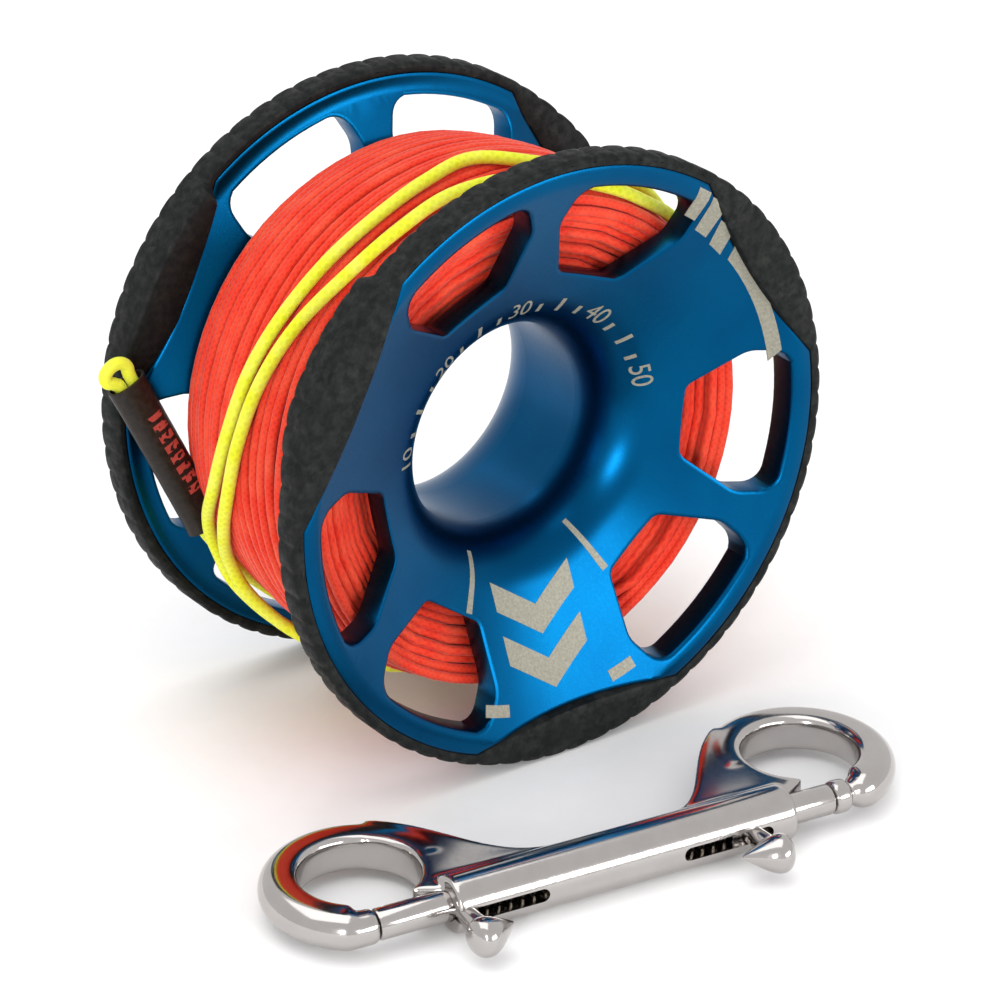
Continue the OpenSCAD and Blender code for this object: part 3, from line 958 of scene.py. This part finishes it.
def sleeve_half_sizes(t):
    """Half width and half thickness of the sleeve, waisted between its flared ends."""
    flare = 0.12 * (math.exp(-t * 14) + math.exp(-(1 - t) * 14))
    ripple = 0.05 * noise.noise(Vector((t * 9, 3.1, 0)))
    return SLEEVE_W / 2 - 0.12 + flare + ripple, SLEEVE_T / 2 - 0.08 + flare * 0.5 + ripple


def build_sleeve(paint):
    sides, rings = 36, 28
    bm = bmesh.new()
    bmesh.ops.create_cone(bm, cap_ends=False, segments=sides, radius1=1, radius2=1, depth=1)
    uprights = [e for e in bm.edges if abs(e.verts[0].co.z - e.verts[1].co.z) > 0.5]
    bmesh.ops.subdivide_edges(bm, edges=uprights, cuts=rings - 1, use_grid_fill=True)
    uv = bm.loops.layers.uv.new("UVMap")
    around_length = math.pi * (SLEEVE_W + SLEEVE_T) / 2
    for face in bm.faces:
        centre = face.calc_center_median()
        middle = math.atan2(centre.y, centre.x) % (2 * math.pi)
        for loop in face.loops:
            angle = math.atan2(loop.vert.co.y, loop.vert.co.x) % (2 * math.pi)
            if angle - middle > math.pi:
                angle -= 2 * math.pi
            if middle - angle > math.pi:
                angle += 2 * math.pi
            loop[uv].uv = ((loop.vert.co.z + 0.5) * SLEEVE_LENGTH * MM,
                           angle / (2 * math.pi) * around_length * MM)
    thick = SLEEVE_ALONG.cross(SLEEVE_ACROSS)
    for v in bm.verts:
        t = v.co.z + 0.5
        half_w, half_t = sleeve_half_sizes(t)
        angle = math.atan2(v.co.y, v.co.x)
        waist = 0.18 * math.cos(2 * angle) ** 2 * abs(math.sin(angle))
        v.co = (in_sleeve(half_w * math.cos(angle), t)
                + thick * (half_t - waist) * math.sin(angle))
    bmesh.ops.recalc_face_normals(bm, faces=bm.faces)
    walls = bm.faces[:]
    bmesh.ops.solidify(bm, geom=walls, thickness=0.4)
    bmesh.ops.recalc_face_normals(bm, faces=bm.faces)
    return finish_piece("line_sleeve", bm, "spool", paint, ["end_sleeve"])


# ---- bolt snap ----

def rod(bm, x0, x1, radius, steps=48, edge=0.0):
    """A closed round rod along X, with rounded edges at its ends."""
    profile = [(x0, 0), (x0, radius - edge)]
    if edge:
        profile += [(x0 + 0.29 * edge, radius - 0.29 * edge), (x0 + edge, radius),
                    (x1 - edge, radius), (x1 - 0.29 * edge, radius - 0.29 * edge)]
    else:
        profile += [(x0, radius), (x1, radius)]
    profile += [(x1, radius - edge), (x1, 0)]
    verts = [bm.verts.new((x, 0, r)) for x, r in dict.fromkeys(profile)]
    edges = [bm.edges.new(pair) for pair in zip(verts, verts[1:])]
    bmesh.ops.spin(bm, geom=verts + edges, cent=(0, 0, 0), axis=(1, 0, 0), dvec=(0, 0, 0),
                   angle=2 * math.pi, steps=steps, use_merge=True)


def hook_section():
    """D-shaped section of a hook: a flat inner side with eased corners, and a round outside."""
    half_w, half_h, ease = HOOK_W / 2, HOOK_H / 2, 1.2
    outside = [(half_w * math.cos(math.radians(a)), half_h * math.sin(math.radians(a)))
               for a in range(-90, 91, 10)]
    upper = [(-half_w + ease - ease * math.sin(math.radians(a)),
              half_h - ease + ease * math.cos(math.radians(a))) for a in range(0, 91, 18)]
    return outside + upper + [(u, -v) for u, v in reversed(upper)]


def add_hook(bm, centre, start, end):
    """Ring of one hook between two angles."""
    section = [bm.verts.new((HOOK_R + u, 0, v)) for u, v in hook_section()]
    face = bm.faces.new(section)
    turn = Matrix.Rotation(math.radians(start), 3, "Z")
    bmesh.ops.rotate(bm, verts=section, cent=(0, 0, 0), matrix=turn)
    old = set(bm.verts) - set(section)
    bmesh.ops.spin(bm, geom=[face], cent=(0, 0, 0), axis=(0, 0, 1), dvec=(0, 0, 0),
                   angle=math.radians(end - start), steps=round(abs(end - start) / 4))
    ring = [v for v in bm.verts if v not in old]
    bmesh.ops.translate(bm, verts=ring, vec=(*centre, 0))


def add_tip(bm, centre, angle, tip_x, way):
    """Round end of a hook, with a short flat-ended stub that meets the gate."""
    tip = polar(HOOK_R, angle) + Vector(centre)
    ball = bmesh.ops.create_uvsphere(bm, u_segments=32, v_segments=20, radius=TIP_R + 0.3)["verts"]
    bmesh.ops.translate(bm, verts=ball, vec=(*tip, 0))
    rod(bm, min(tip_x, tip_x + way * 3), max(tip_x, tip_x + way * 3), TIP_R + 0.1)


def shoulder_curve(a, b, c, d, steps=18):
    """Points of a cubic Bezier curve."""
    a, b, c, d = (Vector(p) for p in (a, b, c, d))
    out = []
    for k in range(steps + 1):
        t = k / steps
        s = 1 - t
        out.append(s ** 3 * a + 3 * s * s * t * b + 3 * s * t * t * c + t ** 3 * d)
    return out


def add_shoulder(bm, outline, height):
    verts = [bm.verts.new((p[0], p[1], -height / 2)) for p in outline]
    face = bm.faces.new(verts)
    made = bmesh.ops.extrude_face_region(bm, geom=[face], use_keep_orig=True)["geom"]
    bmesh.ops.translate(bm, verts=verts_in(made), vec=(0, 0, height))


def as_object(name, bm):
    mesh = bpy.data.meshes.new(name)
    bmesh.ops.recalc_face_normals(bm, faces=bm.faces)
    bm.to_mesh(mesh)
    bm.free()
    made = bpy.data.objects.new(name, mesh)
    bpy.context.scene.collection.objects.link(made)
    return made


def with_modifiers(obj):
    """The mesh that an object's modifiers give, as a bmesh. The object is removed."""
    graph = bpy.context.evaluated_depsgraph_get()
    mesh = bpy.data.meshes.new_from_object(obj.evaluated_get(graph))
    bm = bmesh.new()
    bm.from_mesh(mesh)
    bpy.data.meshes.remove(mesh)
    bpy.data.objects.remove(obj)
    return bm


def fused(name, bm, voxel, passes):
    """Fuses overlapping closed shells into one smooth cast shape."""
    obj = as_object(name, bm)
    remesh = obj.modifiers.new("fuse", "REMESH")
    remesh.mode = "VOXEL"
    remesh.voxel_size = voxel
    soften = obj.modifiers.new("soften", "SMOOTH")
    soften.factor = 0.5
    soften.iterations = passes
    return with_modifiers(obj)


def cut_away(name, bm, cutter_bm):
    obj = as_object(name, bm)
    cutter = as_object(name + "_cutter", cutter_bm)
    cut = obj.modifiers.new("cut", "BOOLEAN")
    cut.operation = "DIFFERENCE"
    cut.solver = "EXACT"
    cut.object = cutter
    bm = with_modifiers(obj)
    bpy.data.objects.remove(cutter)
    return bm


def build_snap_body(paint):
    bm = bmesh.new()
    eye_r = HOOK_R - HOOK_W / 2
    add_hook(bm, LEFT_HOOK, 0, 238)
    add_hook(bm, RIGHT_HOOK, -70, 180)
    rod(bm, LEFT_MOUTH, RIGHT_MOUTH, BARREL_R)
    add_tip(bm, LEFT_HOOK, 238, LEFT_TIP, -1)
    add_tip(bm, RIGHT_HOOK, -70, RIGHT_TIP, 1)
    left = shoulder_curve((-31, 23.8), (-20.5, 18.1), (-20, 4.2), (-8, 4.2))
    right = shoulder_curve((30, 24), (21.7, 18.6), (17.5, 4.2), (11, 4.2))
    left_eye = [polar(eye_r, a) + Vector(LEFT_HOOK) for a in range(-62, 61, 6)]
    right_eye = [polar(eye_r, a) + Vector(RIGHT_HOOK) for a in range(242, 119, -6)]
    add_shoulder(bm, left + [Vector((-8, 0)), Vector((LEFT_MOUTH, 0))] + left_eye, HOOK_H - 0.4)
    add_shoulder(bm, right + [Vector((11, 0)), Vector((RIGHT_MOUTH, 0))] + right_eye, HOOK_H - 0.4)
    bm = fused("snap_casting", bm, 0.3, 36)
    cutters = bmesh.new()
    rod(cutters, LEFT_MOUTH - 8, WEB[0], GATE_R + 0.08)
    rod(cutters, WEB[1], RIGHT_MOUTH + 5, GATE_R + 0.08)
    bm = cut_away("snap_casting", bm, cutters)
    slots = bmesh.new()
    add_slot(slots, LEFT_MOUTH - 3, LEFT_STUD + LEFT_TRAVEL + 0.3)
    add_slot(slots, RIGHT_STUD - RIGHT_TRAVEL - 0.3, RIGHT_STUD + 2)
    bm = cut_away("snap_casting", bm, slots)
    finish_piece("snap_casting", bm, "snap", paint, ["snap_body"], SNAP_FRAME,
                 sharp=40)


def add_slot(bm, x0, x1):
    """A round-ended slot cutter, from the barrel's axis out through its front."""
    arc = [(SLOT_R * math.sin(math.radians(a)), SLOT_R * math.cos(math.radians(a)))
           for a in range(0, 181, 15)]
    ends = [(x1 + out, z) for out, z in arc] + [(x0 - out, -z) for out, z in arc]
    face = bm.faces.new([bm.verts.new((x, 0, z)) for x, z in ends])
    made = bmesh.ops.extrude_face_region(bm, geom=[face], use_keep_orig=True)["geom"]
    bmesh.ops.translate(bm, verts=verts_in(made), vec=(0, -2 * BARREL_R, 0))


def build_gates(paint):
    left_span = (LEFT_TIP + TIP_GAP, LEFT_STUD + GATE_TAIL)
    right_span = (RIGHT_STUD - GATE_TAIL, RIGHT_TIP - TIP_GAP)
    for name, gate, span in (("left_bolt", "left_gate", left_span),
                             ("right_bolt", "right_gate", right_span)):
        bm = bmesh.new()
        rod(bm, *span, GATE_R, steps=64, edge=0.5)
        bmesh.ops.recalc_face_normals(bm, faces=bm.faces)
        finish_piece(name, bm, gate, paint, [gate], SNAP_FRAME)


def knob_profile(steps=20):
    """Half outline of a teardrop knob along X: a round heel and a blunt point."""
    out = []
    for k in range(steps + 1):
        t = math.pi * k / steps
        x = -math.cos(t)
        out.append((x, 0.5 * math.sin(t) * (1.18 - 0.75 * x) * (1 - 0.1 * x)))
    return out


def build_stud(name, node, body, x, way, paint):
    """Thumb stud: a pin through the gate and a teardrop knob that points to the barrel's middle."""
    bm = bmesh.new()
    profile = [bm.verts.new((px * KNOB_REACH, 0, max(pr * KNOB_WIDE, 0)))
               for px, pr in knob_profile()]
    edges = [bm.edges.new(pair) for pair in zip(profile, profile[1:])]
    bmesh.ops.spin(bm, geom=profile + edges, cent=(0, 0, 0), axis=(1, 0, 0), dvec=(0, 0, 0),
                   angle=2 * math.pi, steps=40, use_merge=True)
    bmesh.ops.remove_doubles(bm, verts=bm.verts, dist=1e-4)
    lean = Matrix.Rotation(math.radians(KNOB_LEAN), 3, "Z")
    bmesh.ops.rotate(bm, verts=bm.verts, cent=(0, 0, 0), matrix=lean)
    if way < 0:
        bmesh.ops.scale(bm, verts=bm.verts, vec=(-1, 1, 1))
    bmesh.ops.translate(bm, verts=bm.verts, vec=(x + way * 1.2, -KNOB_OUT, 0))
    neck = bmesh.new()
    rod(neck, 0, 9.4, STUD_R, steps=32)
    for v in neck.verts:
        along = v.co.x
        flare = 1 + 1.1 * smooth_step(along, 5.6, 9)
        v.co = Vector((x + v.co.y * flare, 1.4 - along, v.co.z * flare))
    mesh = bpy.data.meshes.new("neck")
    neck.to_mesh(mesh)
    neck.free()
    bm.from_mesh(mesh)
    bpy.data.meshes.remove(mesh)
    bm = fused(name, bm, 0.16, 8)
    finish_piece(name, bm, body, paint, [node], SNAP_FRAME)


def build_spring(name, node, x0, x1, turns, paint):
    """Coil spring between a gate's inner end and the barrel's web."""
    each_turn, sides = 20, 8
    steps = each_turn * turns
    x0, x1 = x0 + WIRE_D / 2, x1 - WIRE_D / 2
    points = []
    for k in range(steps + 1):
        t = k / steps
        angle = 360 * turns * t
        flat = polar(COIL_R, angle)
        points.append(SNAP_FRAME @ Vector((x0 + (x1 - x0) * t, flat.x, flat.y)))
    wire = add_cord_curve(name + "_wire", points, WIRE_D, paint, "snap", (), sides)
    bpy.context.view_layer.update()
    graph = bpy.context.evaluated_depsgraph_get()
    mesh = bpy.data.meshes.new_from_object(wire.evaluated_get(graph))
    bpy.data.objects.remove(wire)
    spring = add_piece(name, mesh, "snap", [node])
    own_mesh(spring)


def build_snap(paint, wire_paint):
    build_snap_body(paint)
    build_gates(paint)
    build_stud("left_knob", "left_thumb_stud", "left_gate", LEFT_STUD, 1, paint)
    build_stud("right_knob", "right_thumb_stud", "right_gate", RIGHT_STUD, -1, paint)
    left_end = LEFT_STUD + GATE_TAIL
    right_end = RIGHT_STUD - GATE_TAIL
    build_spring("left_coil", "left_spring", left_end, WEB[0], 11,
                 wire_paint)
    build_spring("right_coil", "right_spring", WEB[1], right_end, 9,
                 wire_paint)


# ---- the whole object ----

add_camera()
add_stage()
# The first colour of each braid is painted shade for the grooves between its yarns.
orange = braid_paint("orange_braid", (0.5, 0.006, 0.004), (0.74, 0.035, 0.01), (0.82, 0.16, 0.07),
                     0.0016, LINE_LENGTH)
yellow = braid_paint("yellow_braid", (0.52, 0.53, 0.006), (0.74, 0.77, 0.014), (0.84, 0.86, 0.25),
                     0.0019, LEADER_LENGTH)
build_line(orange)
build_leader(yellow, sleeve_paint())
blue = anodised_paint()
build_flanges(blue)
build_hub(blue)
build_marks(engraving_paint())
build_bands(rubber_paint())
build_snap(polished_paint(), shaded_spring_paint())
